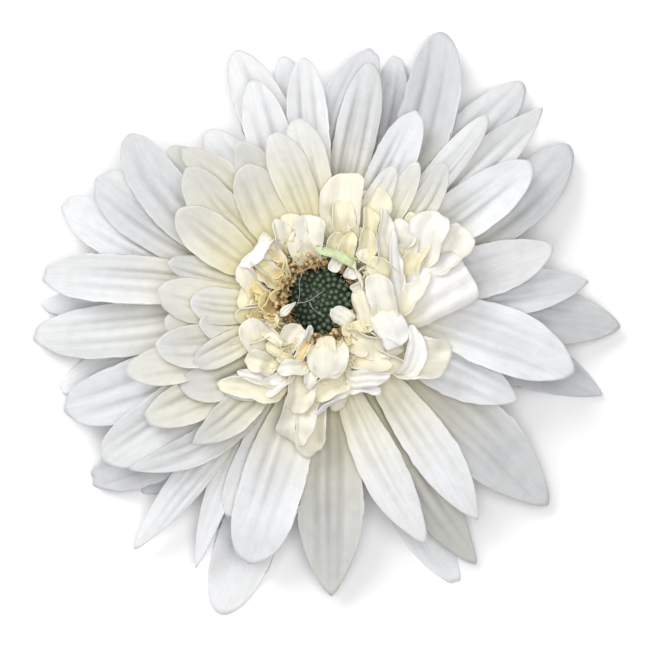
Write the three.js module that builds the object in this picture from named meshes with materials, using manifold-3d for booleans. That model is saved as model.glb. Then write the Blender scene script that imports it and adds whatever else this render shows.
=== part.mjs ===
// Head of a white semi-double gerbera, cut with a short stub of stem and lying face up.
// Millimetres, +Z up. The origin is on the ground, below the middle of the head's box.
//
// The flower is built round its own axis: stem stub, receptacle, cup of green bracts, then
// long ray florets in tiers, shorter inner rays, a ruff of small curled florets, a ring of
// bristles (the pappus) and the disc of closed buds in the middle.

import * as THREE from 'three';
import { mergeVertices } from 'three/addons/utils/BufferGeometryUtils.js';
import Module from 'manifold-3d';

const wasm = await Module();
wasm.setup();

// ---------------------------------------------------------------- driving dimensions, mm

const FIT_GAP = 0.3;              // between two pieces that touch

const STEM_LENGTH = 6;            // from the cut end to the receptacle
const STEM_RADIUS = 3.1;

const DISC_RADIUS = 6.6;          // field of closed buds
const DISC_CROWN = 1.6;           // rise of its middle over its rim
const DISC_DEPTH = 1.4;           // from its rim down to the receptacle
const PAPPUS_WIDTH = 1.6;         // ring of bristles round the disc
const PAPPUS_HEIGHT = 5;
const RECEPTACLE_MARGIN = 0.5;    // rim of the receptacle outside the bristles

const WHORL_HEIGHT = 12;          // claws of the lowest ray florets over the ground
const TIER_STEP = 0.9;            // claws of one tier over the tier below it
const RAY_THICKNESS = 0.5;
const CLAW_WIDTH = 1.9;           // every floret narrows to this where it joins
const LONGEST_REACH = 66.5;       // flower axis to the farthest outer tip
const INNER_REACH = 42;           // flower axis to the farthest inner tip
const COLLAR_WIDTH = 0.8;         // band that the joined inner florets grow from

const BRACT_LENGTH = 11;
const BRACT_WIDTH = 3.6;
const BRACT_THICKNESS = 0.7;
const BRACTS_IN_ROW = 14;
const BRACT_CUP_WALL = 0.8;

const RUFF_REACH = 19;            // flower axis to the farthest tip of the small florets
const RUFF_WIDTH = 6;
const RUFF_FLORETS = 12;          // in each of its two rows

// ------------------------------------------------- how the tiers of ray florets are shaped

// A floret of a tier lies on that tier's own surface of revolution, and the surfaces never
// cross, so florets of different tiers may lie over each other.
const RISE = 0.12;                // slope of the lowest tier at its claws
const RISE_STEP = 0.03;           // each tier above is this much steeper
const DROOP = 0.0075;             // how fast a tier bends down towards its tips, per mm
const LOW_DROOP = 0.003;          // the lowest tier bends this much more, down to the ground
const GROUND_EASE = 2;            // how softly a drooping tip is laid on the ground

// ------------------------------------------------------------------------- ray florets

const ROUND = { swell: 2.6, close: 0.55, end: 0.1 };
const POINTED = { swell: 1.7, close: 0.85, end: 0.05 };

// One line for each long ray, anticlockwise from +X:
// azimuth of its tip in degrees, how much shorter it is than the longest, its width, how far
// round its claw sits from its tip in degrees, its sideways bow, its tier and its tip.
const OUTER_RAYS = [
  [4, 12.5, 10, 0, -1, 2, ROUND],
  [13, 19, 10.5, -4, -1.5, 3, ROUND],
  [32, 7.5, 12, 0, -4.5, 1.8, ROUND],
  [33, 16.5, 10.5, 0, -1, 4, ROUND],
  [41, 7.5, 9, 0, -1, 2.7, POINTED],
  [47, 6.5, 10, 0, 0.5, 1, ROUND],
  [48, 17, 6, 0, -1, 3.4, ROUND],
  [63, 24.5, 8.5, 0, -0.5, 4.4, ROUND],
  [66, 7.5, 11.5, -6, -4.5, 2, ROUND],
  [73, 14.5, 8, 0, -2, 0, ROUND],
  [78, 15, 10.5, 0, 3.5, 1, ROUND],
  [78, 18, 8.5, 0, 0, 2, ROUND],
  [94, 18, 8.5, 0, 0, 2.7, ROUND],
  [99, 16.5, 8, 0, -1.5, 0, ROUND],
  [107, 20.5, 9, 0, 0.5, 3.5, ROUND],
  [109, 13.5, 10.5, 0, -1.5, 1, ROUND],
  [124, 25.5, 9, 0, -1, 0, ROUND],
  [135, 23.5, 8, 0, -1, 1, ROUND],
  [139, 16, 10.5, 0, 5, 3, ROUND],
  [151, 15.5, 12.5, 0, 2, 2, ROUND],
  [159, 11, 10.5, 0, 2.5, 1, ROUND],
  [175, 10.5, 10, 0, -1, 2.9, ROUND],
  [181, 10, 7, -4, 0, 0, ROUND],
  [187, 8, 11, 0, 1, 1, ROUND],
  [199, 10.5, 8, 4, -2, 0, ROUND],
  [203, 10.5, 12, 0, 2, 1.7, ROUND],
  [216, 12.5, 11.5, 0, 1, 2.9, ROUND],
  [218, 7.5, 11, 0, 4.5, 0.8, ROUND],
  [221, 15.5, 7, 12, 6, 4, POINTED],
  [227, 13.5, 9, 0, 1, 0, ROUND],
  [233, 3.5, 7, 0, 0.5, 2.2, POINTED],
  [245, 7, 5.5, 0, -2.5, 1.5, POINTED],
  [247, 19.5, 9, 0, 1, 2.2, ROUND],
  [252, 0, 12.5, 0, 1, 0, ROUND],
  [254.5, 12, 13, 8, 0, 3, ROUND],
  [272, 7, 13.5, 6, 0, 2, POINTED],
  [293.5, 13.5, 10.5, -12, -1, 4, ROUND],
  [296, 3, 9.5, 0, -2.5, 0, POINTED],
  [300.5, 4.5, 10.5, 0, -1.5, 1, POINTED],
  [305.5, 12.5, 11, 4, 0, 3, POINTED],
  [318, 4.5, 15, 0, 1, 1.6, ROUND],
  [333, 22.5, 10.5, -6, 0, 3, ROUND],
  [341.5, 6.5, 11.5, 0, 2, 0, ROUND],
  [344, 14, 13.5, 12, 1.5, 4, ROUND],
  [355, 6, 12, 0, 1, 1, ROUND],
];

// The shorter rays over them, in the same terms, shorter than INNER_REACH.
const INNER_RAYS = [
  [35, 13, 7, 0, -1.5, 8, ROUND],
  [48, 5.5, 5.5, 0, -3, 7, ROUND],
  [55, 9, 5, 0, -1.5, 7.5, ROUND],
  [61, 12, 5, 0, 0, 8, ROUND],
  [98, 6, 8.5, -6, -1, 7, ROUND],
  [106, 8, 8, -14, -0.5, 8.3, ROUND],
  [118, 7, 7.5, 0, -1, 6, ROUND],
  [119, 11.5, 9.5, 10, 0.5, 7, ROUND],
  [133, 1.5, 7, 0, -2.5, 5.4, ROUND],
  [135, 5, 9, 0, 2, 6.2, ROUND],
  [148, 9, 9.5, 10, 0.5, 7, ROUND],
  [166, 11, 5.5, 2, 0, 5.8, ROUND],
  [176, 10, 9, 2, 2, 6.6, ROUND],
  [180, 16.5, 7.5, 4, 1, 8, ROUND],
  [187, 11, 8, 4, 2.5, 5.6, ROUND],
  [189, 18, 6, 8, 2.5, 7.5, ROUND],
  [195, 8.5, 9, 6, 2.5, 6.5, ROUND],
  [200, 1, 8.5, 0, 2, 5.4, ROUND],
  [207, 14, 6, 0, 0, 7.8, ROUND],
  [210.5, 9.5, 8.5, 6, 3.5, 6.2, ROUND],
  [214, 0, 9, 0, 2.5, 5.4, ROUND],
  [219, 16, 6, 14, 4.5, 8, ROUND],
  [228, 4, 7.5, 0, 2.5, 6.6, POINTED],
];

// ------------------------------------------------------------------ sizes worked out here

const PAPPUS_INSIDE = DISC_RADIUS + FIT_GAP;
const PAPPUS_OUTSIDE = PAPPUS_INSIDE + PAPPUS_WIDTH;
const RECEPTACLE_RADIUS = PAPPUS_OUTSIDE + RECEPTACLE_MARGIN;
const CLAW_RADIUS = RECEPTACLE_RADIUS + FIT_GAP;      // where every ray starts
const RECEPTACLE_BOTTOM = STEM_LENGTH + FIT_GAP;
const INNER_TIERS = INNER_RAYS.map((ray) => ray[5]);
const TOP_TIER = Math.max(...INNER_TIERS);
const RECEPTACLE_TOP = clawHeight(TOP_TIER) + RAY_THICKNESS;
const RUFF_BOTTOM = RECEPTACLE_TOP + FIT_GAP + (RISE + RISE_STEP * TOP_TIER) * COLLAR_WIDTH;

// ------------------------------------------------------------------------------ materials

function material(name, color, roughness) {
  return new THREE.MeshStandardMaterial({ name, color, roughness, metalness: 0 });
}

const WHITE_RAY = material('white_ray', 0xf1f1f2, 0.6);
const CREAM_RAY = material('cream_ray', 0xf3eed8, 0.6);
const BUD_GREEN = material('bud_green', 0x37492f, 0.5);
const BRISTLE_TAN = material('bristle_tan', 0xc9ab74, 0.8);
const BRACT_GREEN = material('bract_green', 0x6f8a4a, 0.7);
const STEM_GREEN = material('stem_green', 0x8da35c, 0.6);

// --------------------------------------------------------------------------------- helpers

function clawHeight(tier) {
  return WHORL_HEIGHT + TIER_STEP * tier;
}

// Underside of a tier at a distance from the flower axis, eased on to the ground.
function tierHeight(tier, radius) {
  const out = Math.max(radius - CLAW_RADIUS, 0);
  const droop = DROOP + LOW_DROOP * Math.max(0, 1 - tier);
  const free = clawHeight(tier) + (RISE + RISE_STEP * tier) * out - droop * out * out;
  return (free + Math.hypot(free, GROUND_EASE)) / 2;
}

// The ruff of small florets stands up and then bends outward.
function ruffHeight(row, radius) {
  const out = Math.max(radius - CLAW_RADIUS, 0);
  return RUFF_BOTTOM + row * 0.9 + 1.05 * out - 0.05 * out * out;
}

// Half the width of a floret at a share t of its length.
function halfWidth(width, tip, t) {
  const widest = 0.62;
  const claw = CLAW_WIDTH / width;
  if (t <= widest) {
    const swell = Math.sin((Math.PI / 2) * (t / widest)) ** 1.3;
    return (width / 2) * (claw + (1 - claw) * swell);
  }
  const past = (t - widest) / (1 - widest);
  const closing = (1 - past ** tip.swell) ** tip.close;
  return (width / 2) * (tip.end + (1 - tip.end) * closing);
}

// A box divided along and across, bent so that it becomes one floret: its length follows
// the bowed line from claw to tip, and its height follows the surface that it lies on.
function floretGeometry(floret, heightAt, across, along) {
  const { azimuth, reach, width, lean, bow, tip } = floret;
  const radians = THREE.MathUtils.degToRad(azimuth);
  const clawRadians = THREE.MathUtils.degToRad(azimuth + lean);
  const claw = new THREE.Vector2(Math.cos(clawRadians), Math.sin(clawRadians));
  claw.multiplyScalar(CLAW_RADIUS);
  const end = new THREE.Vector2(Math.cos(radians), Math.sin(radians)).multiplyScalar(reach);
  const chord = end.clone().sub(claw);
  const side = new THREE.Vector2(-chord.y, chord.x).normalize();
  const middle = claw.clone().add(end).multiplyScalar(0.5).addScaledVector(side, 2 * bow);
  const line = new THREE.QuadraticBezierCurve(claw, middle, end);

  const box = new THREE.BoxGeometry(1, 1, 1, across, along, 1);
  const place = box.attributes.position;
  const spot = new THREE.Vector2();
  for (let i = 0; i < place.count; i += 1) {
    const share = place.getY(i) + 0.5;
    const t = Math.min(share * (1.45 - 0.45 * share), 1);
    const heading = line.getTangent(t);
    const offset = 2 * place.getX(i) * halfWidth(width, tip, t);
    line.getPoint(t, spot);
    spot.x += heading.y * offset;
    spot.y -= heading.x * offset;
    const lift = (place.getZ(i) + 0.5) * RAY_THICKNESS;
    place.setXYZ(i, spot.x, spot.y, heightAt(spot.length()) + lift);
  }
  return box;
}

function rayGeometry([azimuth, shorter, width, lean, bow, tier, tip], longest, across, along) {
  const floret = { azimuth, reach: longest - shorter, width, lean, bow, tip };
  return floretGeometry(floret, (radius) => tierHeight(tier, radius), across, along);
}

// Turned solid about +Z from [radius, height] points that start and end on the axis or close.
function turned(points, segments) {
  const profile = points.map(([radius, height]) => new THREE.Vector2(radius, height));
  return new THREE.LatheGeometry(profile, segments).rotateX(Math.PI / 2);
}

function solid(geometry) {
  const bare = geometry.clone();
  bare.deleteAttribute('normal');
  bare.deleteAttribute('uv');
  const merged = mergeVertices(bare, 1e-4);
  return new wasm.Manifold(new wasm.Mesh({
    numProp: 3,
    vertProperties: new Float32Array(merged.attributes.position.array),
    triVerts: new Uint32Array(merged.index.array),
  }));
}

function joined(geometries) {
  const whole = geometries.map(solid).reduce((sum, next) => sum.add(next));
  const mesh = whole.getMesh();
  const geometry = new THREE.BufferGeometry();
  geometry.setAttribute('position', new THREE.BufferAttribute(mesh.vertProperties, 3));
  geometry.setIndex(new THREE.BufferAttribute(mesh.triVerts, 1));
  return geometry;
}

const flower = new THREE.Group();

function addPart(name, geometry, look) {
  const mesh = new THREE.Mesh(geometry, look);
  mesh.name = name;
  flower.add(mesh);
}

// ---------------------------------------------------------------- stem, receptacle, bracts

function stemGeometry() {
  return turned([
    [0, 0], [STEM_RADIUS, 0], [STEM_RADIUS, STEM_LENGTH * 0.6],
    [STEM_RADIUS * 1.1, STEM_LENGTH], [0, STEM_LENGTH],
  ], 20);
}

// The receptacle is a top-shaped core: it widens from the stem to the lowest claws.
const CORE_FOOT = STEM_RADIUS * 1.1;

function coreRadius(height) {
  const share = THREE.MathUtils.clamp(
    (height - RECEPTACLE_BOTTOM) / (WHORL_HEIGHT - RECEPTACLE_BOTTOM), 0, 1);
  return CORE_FOOT + (RECEPTACLE_RADIUS - CORE_FOOT) * Math.sin((Math.PI / 2) * share);
}

function heights(from, to, steps) {
  return Array.from({ length: steps + 1 }, (_, i) => from + ((to - from) * i) / steps);
}

function receptacleGeometry() {
  const side = heights(RECEPTACLE_BOTTOM, WHORL_HEIGHT, 5).map((z) => [coreRadius(z), z]);
  return turned([
    [0, RECEPTACLE_BOTTOM], ...side,
    [RECEPTACLE_RADIUS, RECEPTACLE_TOP], [0, RECEPTACLE_TOP],
  ], 28);
}

// Bracts grow from a thin cup round the core and lie under the lowest rays.
function involucreGeometry() {
  const top = WHORL_HEIGHT - FIT_GAP - BRACT_THICKNESS;
  const levels = heights(RECEPTACLE_BOTTOM, top, 4);
  const inside = levels.map((z) => [coreRadius(z) + FIT_GAP, z]).reverse();
  const outside = levels.map((z) => [coreRadius(z) + FIT_GAP + BRACT_CUP_WALL, z]);
  const cup = turned([...outside, ...inside, outside[0]], 28);
  const pieces = [cup];
  for (const row of [0, 1]) {
    const rootHeight = top - (1.3 + 1.4 * row) * BRACT_THICKNESS;
    const rootRadius = coreRadius(rootHeight + BRACT_THICKNESS) + FIT_GAP + BRACT_CUP_WALL / 2;
    const length = BRACT_LENGTH - row * 2.5;
    for (let i = 0; i < BRACTS_IN_ROW; i += 1) {
      const bract = new THREE.BoxGeometry(1, 1, 1, 1, 3, 1);
      const place = bract.attributes.position;
      for (let j = 0; j < place.count; j += 1) {
        const share = place.getY(j) + 0.5;
        const across = place.getX(j) * BRACT_WIDTH * (1 - 0.85 * share ** 1.6);
        const height = rootHeight - 0.1 * length * share ** 2
          + (place.getZ(j) + 0.5) * BRACT_THICKNESS;
        place.setXYZ(j, across, rootRadius + length * share, height);
      }
      bract.rotateZ(((i + row / 2) * 2 * Math.PI) / BRACTS_IN_ROW);
      pieces.push(bract);
    }
  }
  return joined(pieces);
}

addPart('stem_stub', stemGeometry(), STEM_GREEN);
addPart('receptacle', receptacleGeometry(), STEM_GREEN);
addPart('involucre', involucreGeometry(), BRACT_GREEN);

// -------------------------------------------------------------------------- ray florets

OUTER_RAYS.forEach((ray, i) => {
  const name = `ray_${String(i + 1).padStart(2, '0')}`;
  addPart(name, rayGeometry(ray, LONGEST_REACH, 4, 6), WHITE_RAY);
});

// The inner rays are joined where their claws meet, in a band round the receptacle.
function collarGeometry(bottom, top) {
  const outside = CLAW_RADIUS + COLLAR_WIDTH;
  return turned([
    [CLAW_RADIUS, bottom], [outside, bottom], [outside, top], [CLAW_RADIUS, top],
    [CLAW_RADIUS, bottom],
  ], 48);
}

function innerRaysGeometry() {
  const lowest = Math.min(...INNER_TIERS);
  const collar = collarGeometry(clawHeight(lowest), clawHeight(TOP_TIER) + RAY_THICKNESS);
  const rays = INNER_RAYS.map((ray) => rayGeometry(ray, INNER_REACH, 2, 5));
  return joined([collar, ...rays]);
}

addPart('inner_rays', innerRaysGeometry(), CREAM_RAY);

// --------------------------------------------------------- ruff, pappus and disc of buds

function ruffGeometry() {
  const pieces = [collarGeometry(RUFF_BOTTOM, RUFF_BOTTOM + 2)];
  for (const row of [0, 1]) {
    for (let i = 0; i < RUFF_FLORETS; i += 1) {
      const floret = {
        azimuth: ((i + row / 2) * 360) / RUFF_FLORETS,
        reach: RUFF_REACH - 3.5 * row - 1.5 * (i % 2),
        width: RUFF_WIDTH,
        lean: 0,
        bow: i % 2 ? 0.6 : -0.6,
        tip: ROUND,
      };
      pieces.push(floretGeometry(floret, (radius) => ruffHeight(row, radius), 2, 3));
    }
  }
  return joined(pieces);
}

function pappusGeometry() {
  const bottom = RECEPTACLE_TOP + FIT_GAP;
  return turned([
    [PAPPUS_INSIDE, bottom], [PAPPUS_OUTSIDE, bottom],
    [PAPPUS_OUTSIDE, bottom + PAPPUS_HEIGHT], [PAPPUS_INSIDE, bottom + PAPPUS_HEIGHT],
    [PAPPUS_INSIDE, bottom],
  ], 36);
}

function discGeometry() {
  const bottom = RECEPTACLE_TOP + FIT_GAP;
  const rim = bottom + DISC_DEPTH;
  const dome = heights(0, 1, 4).map((share) => [
    DISC_RADIUS * (1 - share), rim + DISC_CROWN * Math.sin((Math.PI / 2) * share),
  ]);
  return turned([[0, bottom], [DISC_RADIUS, bottom], ...dome], 28);
}

addPart('ruff_florets', ruffGeometry(), CREAM_RAY);
addPart('pappus', pappusGeometry(), BRISTLE_TAN);
addPart('disc_buds', discGeometry(), BUD_GREEN);

// ------------------------------------------- the origin goes below the middle of the head

const bounds = new THREE.Box3().setFromObject(flower);
flower.position.set(
  -(bounds.min.x + bounds.max.x) / 2, -(bounds.min.y + bounds.max.y) / 2, 0);

export default flower;
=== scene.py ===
"""Looks of a cut white gerbera head, lying face up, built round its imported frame.

Shapes are worked out in millimetres and become metres as each mesh is made.
"""

import random
from math import cos, hypot, pi, radians, sin, sqrt

import bpy
import numpy as np
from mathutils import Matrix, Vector


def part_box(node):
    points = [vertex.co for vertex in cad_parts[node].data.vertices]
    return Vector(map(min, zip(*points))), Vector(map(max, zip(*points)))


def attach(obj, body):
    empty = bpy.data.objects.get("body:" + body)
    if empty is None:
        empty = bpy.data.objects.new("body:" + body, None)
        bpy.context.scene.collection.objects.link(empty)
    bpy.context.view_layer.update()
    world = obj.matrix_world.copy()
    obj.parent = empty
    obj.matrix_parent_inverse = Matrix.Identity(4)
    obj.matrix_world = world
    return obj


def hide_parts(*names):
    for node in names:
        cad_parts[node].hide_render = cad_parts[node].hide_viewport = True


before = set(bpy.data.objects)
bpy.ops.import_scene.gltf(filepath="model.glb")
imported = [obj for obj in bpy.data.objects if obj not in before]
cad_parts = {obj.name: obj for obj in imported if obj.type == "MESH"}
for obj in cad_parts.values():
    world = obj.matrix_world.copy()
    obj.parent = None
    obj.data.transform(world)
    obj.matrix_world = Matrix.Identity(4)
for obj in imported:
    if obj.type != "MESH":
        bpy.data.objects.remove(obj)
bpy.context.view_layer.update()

MM = 0.001
SEED = 11


def node_box(name):
    """A node's lowest and highest corners, mm."""
    low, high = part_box(name)
    return np.array(low) / MM, np.array(high) / MM


# ---- places taken from the frame

disc_low, disc_high = node_box("disc_buds")
core_low, core_high = node_box("receptacle")
stem_low, stem_high = node_box("stem_stub")

AXIS = (disc_low[:2] + disc_high[:2]) / 2  # the flower's own axis
DISC_RADIUS = (disc_high[0] - disc_low[0]) / 2
CORE_RADIUS = (core_high[0] - core_low[0]) / 2
CORE_TOP = core_high[2]
STEM_RADIUS = (stem_high[0] - stem_low[0]) / 2
STEM_TOP = stem_high[2]

# ---- the same sizes as the CAD model's driving ones

FIT_GAP = 0.3
WHORL_HEIGHT = 12
TIER_STEP = 0.9
RAY_THICKNESS = 0.5
CLAW_WIDTH = 1.9
LONGEST_REACH = 66.5
INNER_REACH = 42
RISE, RISE_STEP = 0.12, 0.03
DROOP, LOW_DROOP = 0.0075, 0.003
GROUND_EASE = 2
WIDEST = 0.62  # share of a ray's length
CLAW_RADIUS = CORE_RADIUS + FIT_GAP

# tips: how long the outline stays wide, where more is longer, and how it closes, where less
# is blunter
ROUND = (2.7, 0.54)
POINTED = (1.9, 0.78)
SOFT = (2.3, 0.66)
BLUNT = (3.4, 0.5)
RAY_TEETH, RUFF_TEETH = 1.6, 1.4  # small teeth at a tip, over half its width

# azimuth of the tip, mm shorter than the longest, width, lean of the claw, bow, tier, and the
# tip where it is not ROUND
OUTER_RAYS = [
    (4, 12.5, 10, 0, -1, 2, POINTED), (13, 19, 10.5, -4, -1.5, 3, SOFT),
    (32, 7.5, 12, 0, -4.5, 1.8), (33, 16.5, 10.5, 0, -1, 4),
    (41, 7.5, 9, 0, -1, 2.7, POINTED), (47, 6.5, 10, 0, 0.5, 1),
    (48, 17, 6, 0, -1, 3.4), (63, 24.5, 8.5, 0, -0.5, 4.4),
    (66, 7.5, 11.5, -6, -4.5, 2, BLUNT), (73, 14.5, 8, 0, -2, 0),
    (78, 15, 10.5, 0, 3.5, 1), (78, 18, 8.5, 0, 0, 2),
    (94, 18, 8.5, 0, 0, 2.7), (99, 16.5, 8, 0, -1.5, 0),
    (107, 20.5, 9, 0, 0.5, 3.5), (109, 13.5, 10.5, 0, -1.5, 1),
    (124, 25.5, 9, 0, -1, 0), (135, 23.5, 8, 0, -1, 1),
    (139, 16, 10.5, 0, 5, 3, BLUNT), (151, 15.5, 12.5, 0, 2, 2, BLUNT),
    (159, 11, 10.5, 0, 2.5, 1, BLUNT), (175, 10.5, 10, 0, -1, 2.9, BLUNT),
    (181, 10, 7, -4, 0, 0), (187, 8, 11, 0, 1, 1),
    (199, 10.5, 8, 4, -2, 0), (203, 10.5, 12, 0, 2, 1.7, BLUNT),
    (216, 12.5, 11.5, 0, 1, 2.9, BLUNT), (218, 7.5, 11, 0, 4.5, 0.8, BLUNT),
    (221, 15.5, 7, 12, 6, 4, POINTED), (227, 13.5, 9, 0, 1, 0),
    (233, 3.5, 7, 0, 0.5, 2.2, POINTED), (245, 7, 5.5, 0, -2.5, 1.5, POINTED),
    (247, 19.5, 9, 0, 1, 2.2, BLUNT), (252, 0, 12.5, 0, 1, 0, BLUNT),
    (254.5, 12, 13, 8, 0, 3, BLUNT), (272, 7, 13.5, 6, 0, 2, POINTED),
    (293.5, 13.5, 9, -12, -1.4, 4, POINTED), (296, 3, 9, 0, -2.5, 0),
    (300.5, 4.5, 9.8, 0, -1.5, 1, POINTED), (305.5, 12.5, 9.6, 4, 0.6, 3, POINTED),
    (318, 4.5, 14.5, 0, 1, 1.6, POINTED), (333, 22.5, 10.5, -6, 0, 3, POINTED),
    (341.5, 6.5, 11.5, 0, 2, 0, POINTED), (344, 14, 13.2, 12, 1.8, 4, SOFT),
    (355, 6, 12, 0, 1, 1, SOFT),
]

# in the same terms, shorter than INNER_REACH
INNER_RAYS = [
    (35, 13, 7, 0, -1.5, 8), (48, 5.5, 5.5, 0, -3, 7),
    (55, 9, 5, 0, -1.5, 7.5), (61, 12, 5, 0, 0, 8),
    (98, 6, 8.5, -6, -1, 7), (106, 8, 8, -14, -0.5, 8.3),
    (118, 7, 7.5, 0, -1, 6), (119, 11.5, 9.5, 10, 0.5, 7),
    (133, 1.5, 7, 0, -2.5, 5.4), (135, 5, 9, 0, 2, 6.2),
    (148, 9, 9.5, 10, 0.5, 7), (166, 11, 5.5, 2, 0, 5.8),
    (176, 10, 9, 2, 2, 6.6), (180, 16.5, 7.5, 4, 1, 8),
    (187, 11, 8, 4, 2.5, 5.6), (189, 18, 6, 8, 2.5, 7.5),
    (195, 8.5, 9, 6, 2.5, 6.5), (200, 1, 8.5, 0, 2, 5.4),
    (207, 14, 6, 0, 0, 7.8), (210.5, 9.5, 8.5, 6, 3.5, 6.2),
    (214, 0, 9, 0, 2.5, 5.4), (219, 16, 6, 14, 4.5, 8),
    (228, 4, 7.5, 0, 2.5, 6.6, POINTED),
]

# looks that a few ruff florets have set, in place of random ones
BROAD_END = {"swell": 3.6, "close": 0.42, "skew": 0.05, "fold": 0.2}
LOBED_END = {"swell": 2.2, "close": 0.5, "skew": 0.1, "fold": 0.3, "notch": 0.12, "phase": 0.3}
NARROW_END = {"swell": 1.5, "close": 0.8, "lobe": 0.05, "fold": 0.5}
RIBBON = {"swell": 2, "close": 0.5, "lobe": 0.05, "fold": 0.6, "bow": 0.12, "widest": 0.5}
FAN = {"swell": 4, "close": 0.42, "skew": -0.05, "fold": 0.2, "widest": 0.88, "lobe": 0.03,
       "pleat": 0.3, "pleats": 3.0, "crease": 0.35}

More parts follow.
